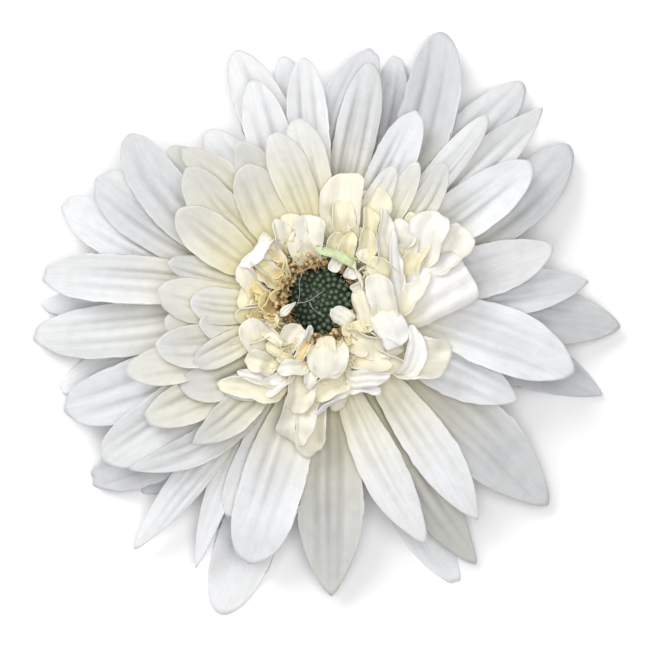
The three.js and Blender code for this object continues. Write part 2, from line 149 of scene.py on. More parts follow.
# The ruff of small florets, each given by where its blade starts and ends, mm from the
# flower's axis and over the core's top:
# start x, y, up, tip x, y, up, arch, width, roll in degrees (0 lies flat, 90 stands on
# edge), cup, cream tone, and any set looks
RUFF = [
    # top
    (4, 13.5, 1.6, 5.2, 25, 2.8, 1, 9, 0, 1.3, 0.3),
    (8, 15.5, 2, 12.4, 22, 3.2, 1, 7.6, -10, -0.8, 0.42),
    (5.2, 12, 2.6, 4, 19.8, 3.8, 1, 5.6, 10, 0.8, 0.45),
    (-2, 8.8, 3.2, -1.8, 16.6, 5, 0.6, 6.4, 0, 0.8, 0.18, {"widest": 0.8, "swell": 3}),
    (-2.4, 8, 2.6, -5.4, 13.4, 4.4, 0.8, 5, 10, 0.6, 0.3),
    (-7, 9, 3, -8.4, 15.8, 5.6, 0.6, 4.4, 38, 1, 0.28),
    (-4.6, 10.5, 2.4, -5.6, 17, 3.8, 0.6, 5, -15, 1, 0.42),
    (2.4, 9.2, 3, 3.4, 13.4, 5, 0.6, 4.2, 20, 0.9, 0.5),
    (5, 8.6, 3, 6.4, 13, 5.2, 0.6, 3.6, -25, 0.8, 0.55),
    (8.8, 9.2, 3.6, 9.6, 18.2, 5, 0.8, 5, 5, 0.8, 0.5),
    (8.6, 8.4, 4, 9.4, 14, 5.8, 0.5, 3.6, -12, 0.8, 0.5),
    (10.6, 7.2, 3.6, 7.4, 9.8, 5, 0.5, 3.6, 15, 0.8, 0.35),
    (12.4, 7.2, 4, 13.2, 17.6, 6.4, 0.8, 4.6, 22, 0.8, 0.18),
    (16.6, 10.8, 4, 15.2, 16.2, 4.8, 0.6, 3.6, 0, -0.5, 0.2),
    (16.4, 8.4, 3, 18.6, 17, 3.2, 0.8, 4.6, -12, 0.8, 0.4),
    # left
    (-8.6, 6, 3, -13, 10, 5, 0.6, 7.4, 6, 1, 0.4),
    (-9.8, 12.2, 4.4, -15.8, 6.4, 5.4, 0.8, 3.2, 12, 0.5, 0, RIBBON),
    (-12.6, 2.4, 3, -15.8, 7, 4.8, 0.8, 4.2, -12, 1, 0.3),
    (-8, 3.4, 3, -12.2, 7.2, 5.4, 0.6, 4.4, 18, 0.9, 0.65),
    (-7.2, 5, 2.6, -8.4, 9.6, 5.2, 0.4, 4, -35, 0.9, 0.55),
    (-9.8, -0.5, 0.8, -11.4, -0.3, 5.6, 0.2, 5, 0, 1.2, 0.75),
    (-8.2, 0.9, 1.2, -9.6, 1, 5.2, 0.2, 3.6, 0, 1, 0.85),
    (-11.6, 0.8, 1.6, -16.4, -0.6, 3.6, 0.8, 5.2, 15, 1, 0.5),
    (-11.4, -2.4, 1.6, -16.6, -3.6, 3, 0.8, 5, -15, 1, 0.55),
    (-10.2, -6, 2, -8.4, -3, 4.8, 0.4, 2.6, -15, 0.4, 0.4),
    (-10.8, -8.2, 2.8, -15.2, -4.4, 5, 0.8, 6.2, 0, 1.7, 0.25),
    (-10.2, -8.8, 3, -14.6, -9.6, 4.4, 0.6, 4, -20, 1, 0.35),
    (-10.6, -5.8, 3, -7.4, -8.8, 4.4, 0.6, 2.4, 25, 0.8, 0.35),
    (-7.9, -3, 4, -4.8, -0.4, 4.4, 0.2, 0.95, 0, 0.1, 0.2),
    # below, left
    (-6.8, -9, 3, -3.6, -5.2, 4.8, 0.6, 4.8, 0, 1.4, 0.25),
    (-3.4, -7.8, 3, -1.7, -5, 5, 0.4, 2.2, 45, 0.8, 0.05),
    (-5.4, -10.6, 2.8, -10.8, -8.8, 4, 0.6, 3.4, 15, 1, 0.45),
    (-5.2, -12.4, 3, -8.4, -10.6, 4, 0.5, 2.6, -15, 0.8, 0.5),
    (-9.6, -12.6, 3, -15, -12, 4.4, 0.8, 4.6, 10, 1.4, 0.35),
    (-8.4, -15.4, 3, -16.4, -14.4, 3.8, 0.7, 3.2, 25, 1, 0.1),
    (-8, -17.6, 3, -20.4, -16.6, 3.5, 0.8, 4.4, -8, 1, 0.4),
    (-6.6, -14.6, 3, -11.2, -19, 3.8, 0.8, 4, 20, 1, 0.08),
    (-3.4, -13, 4, -8.6, -14, 5, 0.6, 3.4, -12, 0.8, 0.15),
    (-2, -8.6, 3.4, -4.6, -12.2, 4.6, 0.8, 2.6, 20, 0.8, 0.85),
    (-1.6, -12.6, 2, -4.8, -12.8, 3.4, 0.6, 2, -25, 0.6, 0.7),
    (-1.6, -13.6, 3.4, -2.6, -17.8, 4, 0.5, 2.6, 15, 0.6, 0.1),
    (-4, -14.8, 2.6, -5.2, -22.2, 1.8, 1, 6.2, 0, 1.3, 0.32),
    (-3, -18, 1.5, -5.8, -28.4, -0.5, 1.2, 7.6, 8, 1.4, 0.25),
    (-1.4, -20, 0.8, -2, -31.4, -2, 0.8, 6.6, 0, 1.2, 0.3),
    # below, middle
    (0.4, -12, 3.4, 0.8, -7, 5, 0.6, 5.6, 0, 0.6, 0.45),
    (1.2, -8.6, 4.2, 2, -15.8, 5.2, 0.8, 8.6, 0, -0.4, 0.25, LOBED_END),
    (4.8, -15, 2.8, -2.6, -19.8, 2.4, 1, 4.8, 0, 1.2, 0.42),
    (5.4, -17.2, 3, -1.6, -23, 1.6, 0.6, 2.6, 35, 0.9, 0.05),
    (3.8, -17, 2, 2.8, -22.4, 0.8, 0.6, 3, 0, 0.8, 0.3),
    (5.4, -15, 3.2, 13.6, -15.2, 4.2, 0.8, 4.2, -10, -0.6, 0.1),
    (4.8, -16.4, 2.8, 12, -17.6, 3, 0.6, 2.4, 25, 0.8, 0.02),
    (5, -9.4, 2, 5, -17, 3, 0.4, 2.2, 30, 0.8, 0.8),
    (4.8, -7.6, 3, 12.4, -9.4, 4.6, 0.8, 6, 15, 1, 0.42),
    (6.8, -11, 2.8, 14.2, -13, 4, 0.8, 5.2, -15, 1, 0.42),
    # right, over the disc
    (5.9, -4.2, 3.6, 2.2, -1.8, 3.8, 0.4, 3.7, 0, -0.4, 0.2),
    (6.4, -6, 3.4, 4.6, -5, 3.6, 0.3, 2.6, 10, -0.4, 0.5),
    (8.4, -7.2, 3.2, 6.8, -4, 4.4, 0.4, 3.4, -10, 0.6, 0.55),
    (9.6, -6, 3.4, 7.6, 2.2, 5, 0.8, 5.6, 0, -0.6, 0.4),
    (3.7, 8.2, 3.4, 2.2, 5.6, 4.2, 0.4, 2.8, 10, 0.6, 0.12),
    (7, 6, 3.4, 4.7, 4.2, 4.2, 0.4, 2.7, -10, 0.6, 0.15),
    (8.6, 3.2, 3.4, 6, 1.9, 4.2, 0.4, 2.5, 0, 0.6, 0.2),
    (6.1, 7.2, 4.2, 8.4, 2.4, 4.6, 0.3, 0.9, 30, 0.2, 0.35),
    # right
    (11.4, -2.2, 4.6, 15, -9.4, 5.4, 0.8, 6.4, 0, -0.5, 0.02, BROAD_END),
    (12.6, -3.2, 4.2, 10.8, 5.2, 5.8, 0.8, 6.2, 8, 0.6, 0.15),
    (13.8, 3.2, 3.5, 10, 8.6, 5.4, 0.6, 5.2, -12, 0.9, 0.5),
    (15.5, -3, 2.8, 14.2, 14.2, 6.8, 0.8, 3.6, 28, 0.5, 0, NARROW_END),
    (14.4, 0.5, 0.6, 18.8, 6.6, 2.2, 0.4, 6, 0, 1, 0.65),
    (16.2, 2.6, 2, 19, 9.4, 3, 0.6, 6, 0, 0.5, 0.55),
    (16.2, 4.6, 2, 20.6, 13.4, 3.4, 0.6, 6, 0, 1, 0.6),
    (19.2, 8.6, 3.2, 23.6, 17, 4.6, 0.8, 8.2, 10, 0.9, 0.08),
    (20.6, 6.6, 1.6, 29, 13.8, 2, 0.8, 7.6, 0, 1, 0.2),
    (15.4, -2.2, 2.2, 28.8, 5.8, 2.8, 1.2, 11.6, 0, -0.8, 0.02, FAN),
    (14.8, -2.4, 3.4, 21.6, 5.4, 4.2, 0.8, 4.4, -25, 0.8, 0.25, NARROW_END),
    (10.6, -7.6, 2.8, 16.2, -10.6, 4.2, 0.8, 4.6, 15, 1, 0.35),
    (9.4, -10.4, 2.4, 16.6, -13.2, 3.4, 0.8, 5, 0, 1, 0.35),
    (15.4, -14.4, 3, 18.4, -5, 5.6, 0.8, 4.2, 12, 0.8, 0, {"bow": -0.2}),
    (15, -11.4, 1.8, 25.8, -11.6, 2, 1, 9, 0, 1, 0.3),
]
# rows of small fill florets: how many, start radius, least and most reach, width, height of
# start and tip over the core's top, tone
RUFF_FILL = [
    (46, 9.2, 0.2, 2.6, 3.2, 0.6, 4.6, 0.55),
    (38, 10.4, 1.4, 4.2, 4.4, 0.8, 4.2, 0.45),
    (30, 11.8, 2.6, 5.2, 5.4, 0.4, 3, 0.38),
]


# ---- materials

def linear(red, green, blue):
    """A colour given as it is seen, 0 to 255, in the units that shaders take."""
    def one(channel):
        share = channel / 255
        return share / 12.92 if share <= 0.04045 else ((share + 0.055) / 1.055) ** 2.4
    return (one(red), one(green), one(blue), 1.0)


def seen_stops(*rows):
    """Ramp stops, each given as a position and a colour as it is seen."""
    return [(position, linear(*colour)) for position, *colour in rows]


def new_material(name, roughness, specular=0.3):
    material = bpy.data.materials.new(name)
    material.use_nodes = True
    tree = material.node_tree
    shader = tree.nodes["Principled BSDF"]
    shader.inputs["Roughness"].default_value = roughness
    shader.inputs["Specular IOR Level"].default_value = specular
    return material, tree, shader


def add_node(tree, kind, **inputs):
    node = tree.nodes.new(kind)
    for name, value in inputs.items():
        node.inputs[name.replace("_", " ")].default_value = value
    return node


def ramp_node(tree, factor, stops):
    """A colour ramp of (position, colour) stops over a factor socket."""
    ramp = tree.nodes.new("ShaderNodeValToRGB")
    elements = ramp.color_ramp.elements
    while len(elements) < len(stops):
        elements.new(1.0)
    for element, (position, colour) in zip(elements, stops):
        element.position = position
        element.color = colour
    tree.links.new(factor, ramp.inputs["Fac"])
    return ramp


def attribute_output(tree, label):
    """A float that each piece carries at its points, such as its tone."""
    attribute = tree.nodes.new("ShaderNodeAttribute")
    attribute.attribute_name = label
    return attribute.outputs["Fac"]


def object_place(tree):
    return tree.nodes.new("ShaderNodeTexCoord").outputs["Object"]


def noise_node(tree, vector, scale, detail=2.0, roughness=0.5):
    noise = add_node(tree, "ShaderNodeTexNoise", Scale=scale, Detail=detail,
                     Roughness=roughness)
    tree.links.new(vector, noise.inputs["Vector"])
    return noise


def stretched(tree, source, scale):
    mapping = add_node(tree, "ShaderNodeMapping", Scale=scale)
    tree.links.new(source, mapping.inputs["Vector"])
    return mapping.outputs["Vector"]


# a colour mix node's sockets
MIX_SHARE, MIX_FIRST, MIX_SECOND, MIX_RESULT = 0, 6, 7, 2


def multiplied(tree, first, second):
    mix = tree.nodes.new("ShaderNodeMix")
    mix.data_type = "RGBA"
    mix.blend_type = "MULTIPLY"
    mix.inputs[MIX_SHARE].default_value = 1.0
    tree.links.new(first, mix.inputs[MIX_FIRST])
    tree.links.new(second, mix.inputs[MIX_SECOND])
    return mix.outputs[MIX_RESULT]


def bump_to(tree, shader, height, strength, distance):
    bump = add_node(tree, "ShaderNodeBump", Strength=strength, Distance=distance)
    tree.links.new(height, bump.inputs["Height"])
    tree.links.new(bump.outputs["Normal"], shader.inputs["Normal"])


# colours of a petal from its white parts, 0, to its deepest cream, 1
WHITE_TONES = seen_stops(
    (0, 240, 241, 245), (0.25, 243, 240, 226), (0.5, 241, 235, 204), (0.75, 238, 223, 172),
    (1, 228, 194, 136))
# a lighter, warmer copy for the ruff: the florets' own ivory, lifted further as painted light
# for the high ruff
IVORY_AND_PAINTED_LIGHT_TONES = seen_stops(
    (0, 247, 245, 243), (0.25, 247, 242, 225), (0.5, 246, 237, 203), (0.75, 243, 226, 173),
    (1, 238, 204, 144))
# what a petal's colour is multiplied by, over its painted shading from 0 to 1: painted shade,
# darkest at 0
PAINTED_SHADING_STOPS = [
    (0.0, (0.0, 0.0, 0.0, 1)),
    (0.6, (0.575, 0.578, 0.585, 1)),
    (1.0, (1.0, 1.0, 1.0, 1)),
]
# colours of the noise that a piece's own colour is multiplied by
VEIN_COLOURS = seen_stops((0.3, 248, 248, 247), (0.62, 255, 255, 255))
MOTTLE_COLOURS = seen_stops((0.3, 246, 246, 244), (0.6, 255, 255, 255))
GRAIN_COLOURS = seen_stops((0.3, 205, 205, 205), (0.65, 255, 255, 255))

VEIN_STRETCH = (1.5, 0.06, 1)  # per mm across and along a petal
MOTTLE_STRETCH = (0.5, 0.3, 1)
PETAL_ROUGHNESS, PETAL_SPECULAR = 0.55, 0.25
GLOW_DEPTH = 0.0013  # how far light spreads in a petal, m
BUMP_DEPTH, FINE_BUMP_DEPTH = 0.0002, 0.0001  # m
GRAIN_SCALE = 1800.0  # per m


def petal_material(name, tones, glow):
    """Soft petal: cream to white by the piece's own tone, with fine veins along it."""
    material, tree, shader = new_material(name, PETAL_ROUGHNESS, PETAL_SPECULAR)
    colour = ramp_node(tree, attribute_output(tree, "tone"), tones)
    uv = tree.nodes.new("ShaderNodeUVMap")
    uv.uv_map = "petal"
    flat = uv.outputs["UV"]
    veins = noise_node(tree, stretched(tree, flat, VEIN_STRETCH), 1.0, 3.0)
    mottle = noise_node(tree, stretched(tree, flat, MOTTLE_STRETCH), 1.0, 5.0, 0.6)
    mixed = colour.outputs["Color"]
    # veins and mottle are the petal's own marks; the last factor is its painted shade and
    # highlight
    for factor, stops in (
            (veins.outputs["Fac"], VEIN_COLOURS),
            (mottle.outputs["Fac"], MOTTLE_COLOURS),
            (attribute_output(tree, "painted_shading"), PAINTED_SHADING_STOPS)):
        mixed = multiplied(tree, mixed, ramp_node(tree, factor, stops).outputs["Color"])
    tree.links.new(mixed, shader.inputs["Base Color"])
    shader.inputs["Subsurface Weight"].default_value = glow
    shader.inputs["Subsurface Radius"].default_value = (1.0, 1.0, 1.0)
    shader.inputs["Subsurface Scale"].default_value = GLOW_DEPTH
    bump_to(tree, shader, veins.outputs["Fac"], 0.3, BUMP_DEPTH)
    return material


def plain_material(name, dark, light, roughness, scale, stretch=(1, 1, 1), bump=0.3,
                   specular=0.3):
    """Two colours mixed by noise in the object's own space, with a bump of the same noise."""
    material, tree, shader = new_material(name, roughness, specular)
    noise = noise_node(tree, stretched(tree, object_place(tree), stretch), scale, 4.0)
    colour = ramp_node(tree, noise.outputs["Fac"], seen_stops((0.35, *dark), (0.65, *light)))
    tree.links.new(colour.outputs["Color"], shader.inputs["Base Color"])
    bump_to(tree, shader, noise.outputs["Fac"], bump, BUMP_DEPTH)
    return material


def toned_material(name, stops, roughness, specular=0.3):
    """Colours along the piece's own tone, broken up by a fine noise."""
    material, tree, shader = new_material(name, roughness, specular)
    colour = ramp_node(tree, attribute_output(tree, "tone"), stops)
    noise = noise_node(tree, object_place(tree), GRAIN_SCALE)
    grain = ramp_node(tree, noise.outputs["Fac"], GRAIN_COLOURS)
    mixed = multiplied(tree, colour.outputs["Color"], grain.outputs["Color"])
    tree.links.new(mixed, shader.inputs["Base Color"])
    bump_to(tree, shader, noise.outputs["Fac"], 0.2, FINE_BUMP_DEPTH)
    return material


WHITE_PETAL = petal_material("white_petal", WHITE_TONES, 0.3)
CREAM_PETAL = petal_material("cream_petal", WHITE_TONES, 0.5)
RUFF_PETAL = petal_material("ruff_petal", IVORY_AND_PAINTED_LIGHT_TONES, 0.4)
# the buds' green, with their tone running from painted shade, 0, to painted highlight on their
# tops, 1
BUD_WITH_PAINTED_LIGHT = toned_material(
    "green_bud_painted_light", seen_stops((0, 16, 21, 14), (0.5, 44, 59, 41), (1, 92, 112, 86)), 0.45, 0.45)
# the tufts' tan, with their tone running from painted shade low down, 0, to painted light on
# top, 1
BRISTLE_WITH_PAINTED_LIGHT = toned_material(
    "tan_bristle_painted_light", seen_stops((0, 158, 118, 70), (0.5, 214, 178, 122), (1, 240, 218, 172)), 0.7)
THREAD = plain_material("pale_thread", (186, 190, 182), (222, 222, 212), 0.5, 900)
GREEN_FLORET = plain_material("pale_green_floret", (184, 198, 148), (212, 220, 182), 0.5, 500)
BRACT = plain_material("green_bract", (84, 108, 56), (126, 148, 84), 0.6, 420, bump=0.4)
STALK = plain_material("green_stalk", (120, 144, 78), (160, 176, 110), 0.5, 300,
                       stretch=(1, 1, 0.12), bump=0.4)
CORE = plain_material("pale_core", (178, 150, 92), (206, 186, 132), 0.7, 700)
FLOOR = plain_material("pale_floor", (247, 247, 247), (250, 250, 250), 0.9, 3, bump=0.0,
                       specular=0.1)


# ---- mesh helpers

def make_object(name, points, faces, material, replaced, tone=None, uv=None,
                painted_shading=None):
    """One piece from points in mm on the flower's own axis."""
    place = np.array(points, dtype=float)
    place[:, :2] += AXIS
    mesh = bpy.data.meshes.new(name)
    mesh.from_pydata((place * MM).tolist(), [], faces)
    # the painted shading carries a petal's painted shade and highlight
    for label, values in (("tone", tone), ("painted_shading", painted_shading)):
        if values is not None:
            mesh.attributes.new(label, "FLOAT", "POINT").data.foreach_set(
                "value", np.asarray(values, dtype=np.float32))
    if uv is not None:
        layer = mesh.uv_layers.new(name="petal")
        corner = np.empty(len(mesh.loops), dtype=np.int32)
        mesh.loops.foreach_get("vertex_index", corner)
        layer.data.foreach_set("uv", np.asarray(uv, dtype=np.float32)[corner].ravel())
    mesh.materials.append(material)
    mesh.polygons.foreach_set("use_smooth", [True] * len(mesh.polygons))
    mesh.validate()
    mesh.update()
    piece = bpy.data.objects.new(name, mesh)
    bpy.context.scene.collection.objects.link(piece)
    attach(piece, "root")
    if replaced:
        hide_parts(*replaced)
    return piece


def unit(vectors):
    return vectors / np.maximum(np.linalg.norm(vectors, axis=-1, keepdims=True), 1e-9)


def shell_parts(middle, thickness):
    """Points and faces of the closed thin body round a grid of middle points."""
    rows, columns = middle.shape[:2]
    along = np.gradient(middle, axis=0)
    across = np.gradient(middle, axis=1)
    normal = unit(np.cross(along, across))
    half = thickness[..., None] / 2
    points = np.concatenate([(middle + normal * half).reshape(-1, 3),
                             (middle - normal * half).reshape(-1, 3)])
    count = rows * columns
    index = np.arange(count).reshape(rows, columns)
    a, b = index[:-1, :-1].ravel(), index[1:, :-1].ravel()
    c, d = index[1:, 1:].ravel(), index[:-1, 1:].ravel()
    faces = np.stack([a, b, c, d], 1).tolist()
    faces += np.stack([d + count, c + count, b + count, a + count], 1).tolist()
    rim = np.concatenate([index[:, 0], index[-1, 1:], index[-2::-1, -1], index[0, -2:0:-1]])
    after = np.roll(rim, -1)
    faces += np.stack([after, rim, rim + count, after + count], 1).tolist()
    return points, faces


def both_sides(values, *width):
    """Values over a sheet's grid, for the points of its upper and then its lower face."""
    flat = values.reshape(-1, *width)
    return np.concatenate([flat, flat])


def spread(count):
    """From -1 to 1, closer together towards both ends."""
    return np.sin(np.linspace(-pi / 2, pi / 2, count))


def tier_height(tier, radius):
    """Underside of a tier of rays, mm over the ground, as in the CAD model."""
    out = np.maximum(radius - CLAW_RADIUS, 0)
    droop = DROOP + LOW_DROOP * max(0, 1 - tier)
    free = (WHORL_HEIGHT + TIER_STEP * tier + (RISE + RISE_STEP * tier) * out
            - droop * out * out)
    return (free + np.hypot(free, GROUND_EASE)) / 2


def polar(radius, azimuth):
    """x and y, mm, at an azimuth in degrees."""
    angle = radians(azimuth)
    return np.array([radius * cos(angle), radius * sin(angle)])


def half_width(width, t):
    """Half the width at a share t of the length, before the tip rounds it off."""
    claw = min(CLAW_WIDTH / width, 1)
    swell = np.sin(pi / 2 * np.clip(t / WIDEST, 0, 1)) ** 1.3
    past = np.clip((t - WIDEST) / (1 - WIDEST), 0, 1)
    return width / 2 * (claw + (1 - claw) * swell) * (1 - 0.12 * past ** 2)


def tip_teeth(v, notch, count, phase):
    """How far each place across a tip is notched: no notch at 0, `notch` at the deepest."""
    return notch * (0.5 - 0.5 * np.cos(2 * pi * count * (v - phase)))


def vein_ends(v, tip, notch, phase):
    """Share of the length at which each vein meets the outline, with small teeth at the tip."""
    swell, close = tip
    closing = (1 - np.abs(v) ** (1 / close)) ** (1 / swell)
    teeth = tip_teeth(v, notch, RAY_TEETH, phase)
    return WIDEST + (1 - WIDEST) * closing * (1 - teeth * closing)


CRUMPLE_WAVES = 5
CRUMPLE_HEIGHT = 2.2  # about what the waves come to together


def crumple(rng, x, y, shortest, longest, sharpness=0.0):
    """Creases over a sheet: a few waves in random directions, about 1 high in all."""
    total = np.zeros_like(x)
    for _ in range(CRUMPLE_WAVES):
        turn = rng.uniform(0, pi)
        length = rng.uniform(shortest, longest)
        phase = (2 * pi * (x * cos(turn) + y * sin(turn)) / length
                 + rng.uniform(0, 2 * pi))
        wave = (1 - sharpness) * np.sin(phase) + sharpness * (1 - 2 * np.abs(np.sin(phase / 2)))
        total += wave * length / longest
    return total / CRUMPLE_HEIGHT


# ---- the rays

USUAL_WIDTH = 10  # of a ray, mm
GROOVE_SPREAD = 1.235  # of all grooves, in half widths
RAY_SHEET = 0.42  # thickest at the middle, mm
LEAST_HEIGHT = 0.25  # of a sheet's middle over the ground
EDGE_WAVES = 7  # radians of the wave along an edge
NICK_DEPTH = 0.035  # share of the half width
NICK_LENGTHS = (1.5, 6)  # mm, as are the next
CREASE_LENGTHS = (7, 22)
RIDGE_HEIGHT, RIDGE_TURN = 0.06, 9  # mm, and radians over half the width
GROOVE_WIDTH = 0.13  # share of the half width
# painted shade in a ray's grooves and painted highlight along its rim, as shares of its painted
# shading
GROOVE_PAINTED_SHADE, RIM_PAINTED_HIGHLIGHT = 0.26, 0.09  # of a ray's shade
UV_SHIFT = 40  # mm, the most between two petals' veins


def ray_line(ray, longest, t):
    """Where a ray's line lies at each t, seen from above, and which way is left there."""
    azimuth, shorter, _, lean, bow = ray[:5]
    foot, end = polar(CLAW_RADIUS, azimuth + lean), polar(longest - shorter, azimuth)
    chord = end - foot
    side = np.array([-chord[1], chord[0]]) / np.hypot(*chord)
    middle = (foot + end) / 2 + side * 2 * bow
    t3 = t[..., None]
    line = (1 - t3) ** 2 * foot + 2 * t3 * (1 - t3) * middle + t3 ** 2 * end
    heading = unit((1 - t3) * (middle - foot) + t3 * (end - middle))
    return line, np.stack([-heading[..., 1], heading[..., 0]], -1)


def uneven_edge(name, looks, v, t, length):
    """What a ray's half width is multiplied by: slow waves and small nicks at its edges."""
    turn = EDGE_WAVES * t + looks["phase"] * 9 + np.sign(v)
    waves = 1 + looks["wobble"] * np.sin(turn) * np.abs(v)
    sides = 2 * np.sign(v) + 0 * t
    nicks = NICK_DEPTH * crumple(random.Random(name), sides, t * length, *NICK_LENGTHS, 0.8)
    return waves + nicks * v ** 2


def groove_depth(looks, v, t):
    """Depth of a ray's lengthwise grooves, mm, before its narrow parts make them shallow."""
    grooved = np.zeros_like(t * v)
    for place, depth, first, last in looks["grooves"]:
        shown = np.clip((t - first) / 0.15, 0, 1) * np.clip((last - t) / 0.25, 0, 1)
        across = (v - place * (1.1 - 0.3 * t)) / GROOVE_WIDTH
        grooved += depth * np.exp(-across ** 2) * shown
    return grooved


def ray_relief(rng, looks, grooved, full, x, v, t, length):
    """Height of a ray's face over its tier's surface, mm."""
    fade = np.sin(pi * np.clip(t, 0.02, 0.98)) ** 0.6
    ridged = RIDGE_HEIGHT * np.cos(RIDGE_TURN * v + looks["phase"] * 3) * fade * full
    ridges = ridged - grooved * full
    creases = looks["crease"] * crumple(rng, x, t * length, *CREASE_LENGTHS)
    return (
        looks["cup"] * (v ** 2 - 0.3) * full
        + ridges
        + creases * full * np.clip(t * 3, 0, 1)
        + looks["wave"] * np.sin(2 * pi * (1.15 * t + looks["phase"])) * t
        + looks["twist"] * v * t ** 1.5 * full
        + looks["curl"] * np.clip((t - 0.7) / 0.3, 0, 1) ** 2
    )


def ray_painted_shading(looks, grooved, full, v, t):
    """A ray's painted shading: painted shade in its grooves and towards its tip, painted
    highlight on its rim.
    """
    rim = np.clip((np.abs(v) - 0.86) / 0.1, 0, 1) * full
    tip_shading = looks["tip_shade"] * np.clip((t - 0.45) / 0.4, 0, 1)
    return looks["painted_shading"] - GROOVE_PAINTED_SHADE * grooved * full - tip_shading + RIM_PAINTED_HIGHLIGHT * rim


def ray_piece(rng, name, ray, longest, tones, looks, replaced, material, size):
    """One ray floret: a strap on its tier's surface, with ridges, cup, twist and curl."""
    width, tier = ray[2], ray[5]
    tip = ray[6] if len(ray) > 6 else ROUND
    length = longest - ray[1]
    rows, columns = size
    v = spread(columns)[None, :]
    t = np.linspace(0, 1, rows)[:, None] * vein_ends(v, tip, looks["notch"], looks["phase"])
    half = half_width(width, t)
    full = np.clip(half / (width / 2), 0, 1)
    line, left = ray_line(ray, longest, t)
    flat = line + left * (half * v * uneven_edge(name, looks, v, t, length))[..., None]

    grooved = groove_depth(looks, v, t)
    relief = ray_relief(rng, looks, grooved, full, half * v, v, t, length)
    radius = np.hypot(flat[..., 0], flat[..., 1])
    height = tier_height(tier, radius) + RAY_THICKNESS / 2 + relief
    height = np.maximum(height, LEAST_HEIGHT)
    grid = np.concatenate([flat, height[..., None]], -1)
    thickness = RAY_SHEET * (1 - 0.55 * v ** 2) * (1.3 - 0.5 * t)
    points, faces = shell_parts(grid, thickness)

    base, tip_tone, cream_reach = tones
    tone = tip_tone + (base - tip_tone) * np.clip(1 - t / cream_reach, 0, 1) ** 1.4
    # painted shade and highlight over the ray's face
    painted_shading = ray_painted_shading(looks, grooved, full, v, t)
    uv = np.stack([half * v + looks["phase"] * UV_SHIFT, t * length], -1)
    return make_object(name, points, faces, material, replaced, both_sides(tone),
                       both_sides(uv, 2), both_sides(painted_shading))


def grooves(rng, share):
    """Lengthwise grooves: place across from -1 to 1, depth, and where each starts and ends."""
    count = rng.choice([2, 3, 3, 4])
    middle = (count - 1) / 2
    found = []
    for k in range(count):
        place = (k - middle) * GROOVE_SPREAD / count + rng.uniform(-0.1, 0.1)
        depth = rng.uniform(0.35, 0.75) * min(share, 1.05)
        found.append((place, depth, rng.uniform(0.0, 0.25), rng.uniform(0.75, 1.02)))
    return found


def ray_looks(rng, width):
    """A ray's own random looks, larger on a wide one."""
    share = width / USUAL_WIDTH
    return {
        "grooves": grooves(rng, share),
        "crease": rng.uniform(0.1, 0.3) * share,
        "cup": rng.choice([-1, 1, 1]) * rng.uniform(0.5, 1.1) * share,
        "wave": rng.uniform(-0.35, 0.35),
        "twist": rng.uniform(-0.7, 0.7) * share,
        "curl": rng.uniform(-1.2, 1.6),
        "notch": rng.uniform(0.0, 0.035),
        "wobble": rng.uniform(0.01, 0.04),
        "phase": rng.uniform(0, 1),
        "tip_shade": 0.0,
    }


# painted shade on an outer ray's face, from 0, darkest, to 1: the usual one, and others with
# the numbers of the rays they hold for
USUAL_PAINTED_SHADE = 0.84
RAY_PAINTED_SHADES = {
    0.7: (9, 18, 19, 39, 43, 45),
    0.76: (3, 10, 11, 12, 20, 28, 29, 36, 41),
    0.96: (4, 25, 31, 32, 33, 34, 35, 37, 38, 40, 42, 44),
}
# outer rays that stay a little cream up to the tip
WARM_RAYS = (18, 36, 39)
WARMTH = 0.12
# how far cream reaches along an outer ray, and along one near azimuth 0
CREAM_REACH, SHORT_CREAM_REACH = 0.7, 0.5
SHORT_CREAM_SECTOR = 30  # degrees to either side
INNER_CREAM_REACH = 0.95
OUTER_GRID, INNER_GRID = (48, 49), (36, 41)  # points along and across


def ray_painted_shade(number):
    for painted_shading, numbers in RAY_PAINTED_SHADES.items():
        if number in numbers:
            return painted_shading
    return USUAL_PAINTED_SHADE


def outer_cream_reach(azimuth):
    from_right = abs((azimuth + 180) % 360 - 180)
    return SHORT_CREAM_REACH if from_right < SHORT_CREAM_SECTOR else CREAM_REACH


def build_rays():
    rng = random.Random(SEED)
    for number, ray in enumerate(OUTER_RAYS, 1):
        looks = ray_looks(rng, ray[2])
        looks["painted_shading"] = ray_painted_shade(number)
        warm = WARMTH if number in WARM_RAYS else 0.0
        tones = (0.85, warm + rng.uniform(0.0, 0.05), outer_cream_reach(ray[0]))
        ray_piece(rng, f"ray_{number:02d}_petal", ray, LONGEST_REACH, tones, looks,
                  [f"ray_{number:02d}"], WHITE_PETAL, OUTER_GRID)
    for number, ray in enumerate(INNER_RAYS, 1):
        looks = ray_looks(rng, ray[2])
        looks["curl"] = rng.uniform(-1.5, 1.5)
        # painted shade over an inner ray's face, a little different on each, and more painted
        # shade towards its tip
        looks["painted_shading"] = rng.uniform(0.82, 0.92)
        looks["tip_shade"] = rng.uniform(0.04, 0.16)
        tones = (1.0, rng.uniform(0.08, 0.2), INNER_CREAM_REACH)
        ray_piece(rng, f"inner_ray_{number:02d}", ray, INNER_REACH, tones, looks,
                  ["inner_rays"], CREAM_PETAL, INNER_GRID)


# ---- the ruff

FOOT_RADIUS = CORE_RADIUS - 0.25
FOOT_DEPTH = 0.2  # under the core's top, mm
DEEPEST = CORE_TOP - 12  # no floret hangs lower, mm
PATH_STEPS = 14  # between two chosen points of a path
RUFF_SHEET = 0.26  # thickest at the middle, mm
RUFF_GRID = (34, 21)
RAGGED_LENGTHS = (1.5, 4)  # mm
RUFF_CREASE_LENGTHS = (1.8, 6.5)
RUFF_UV_SHIFT = 30
# deep cream at a floret's foot: partly its own cream, partly a painted warm glow of light
# bounced in the depths of the ruff
RUFF_BASE_CREAM_AND_GLOW = 0.95


